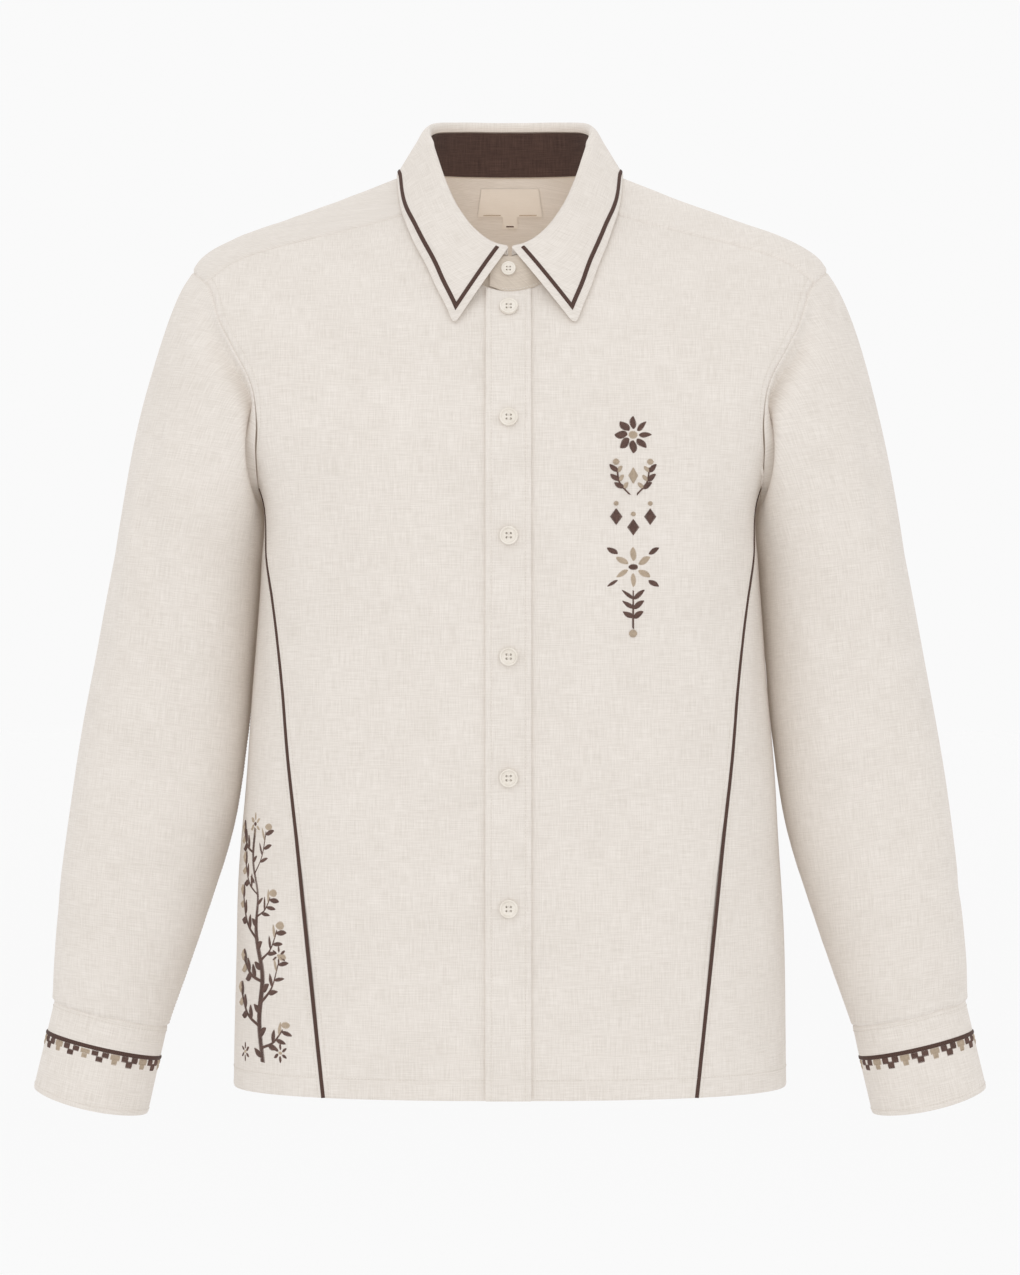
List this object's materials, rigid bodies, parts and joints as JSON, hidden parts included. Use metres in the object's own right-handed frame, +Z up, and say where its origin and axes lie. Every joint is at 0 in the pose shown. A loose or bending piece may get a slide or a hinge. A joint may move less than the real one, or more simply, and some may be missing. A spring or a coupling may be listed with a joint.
{
  "type": "embroidered long-sleeve shirt",
  "caption": "Long-sleeve buttoned linen shirt with a turned-down collar, side panels, dark braid trim and embroidery, filled out as if worn and hollow inside.",
  "frame": {"origin": "middle of the neck where the shirt is held up by its wearer, level with the highest point of the shoulder seams", "axes": "+X to the wearer's left, +Y to the wearer's back, +Z up from the hem to the collar"},
  "size_m": [0.742, 0.27, 0.7811],
  "materials": {
    "linen": "matte slubbed linen, plain weave",
    "dark_trim": "matte dark brown cotton",
    "woven_label": "soft satin weave, blank",
    "button": "satin, horn-like"
  },
  "bodies": {
    "root": {"front_left": "linen", "front_right": "linen", "side_panel_left": "linen", "side_panel_right": "linen", "back": "linen", "yoke": "linen", "front_band": "linen", "sleeve_left": "linen", "sleeve_right": "linen", "sleeve_band_left": "linen", "sleeve_band_right": "linen", "cuff_left": "linen", "cuff_right": "linen", "collar_stand": "linen", "stand_lining": "dark_trim", "collar_fall": "linen", "seam_braid_left": "dark_trim", "seam_braid_right": "dark_trim", "collar_braid": "dark_trim", "cuff_braid_left": "dark_trim", "cuff_braid_right": "dark_trim", "label": "woven_label", "size_tab": "woven_label", "button_1": "button", "button_2": "button", "button_3": "button", "button_4": "button", "button_5": "button", "button_6": "button", "stand_button": "button", "cuff_button_left": "button", "cuff_button_right": "button"}
  },
  "joints": []
}
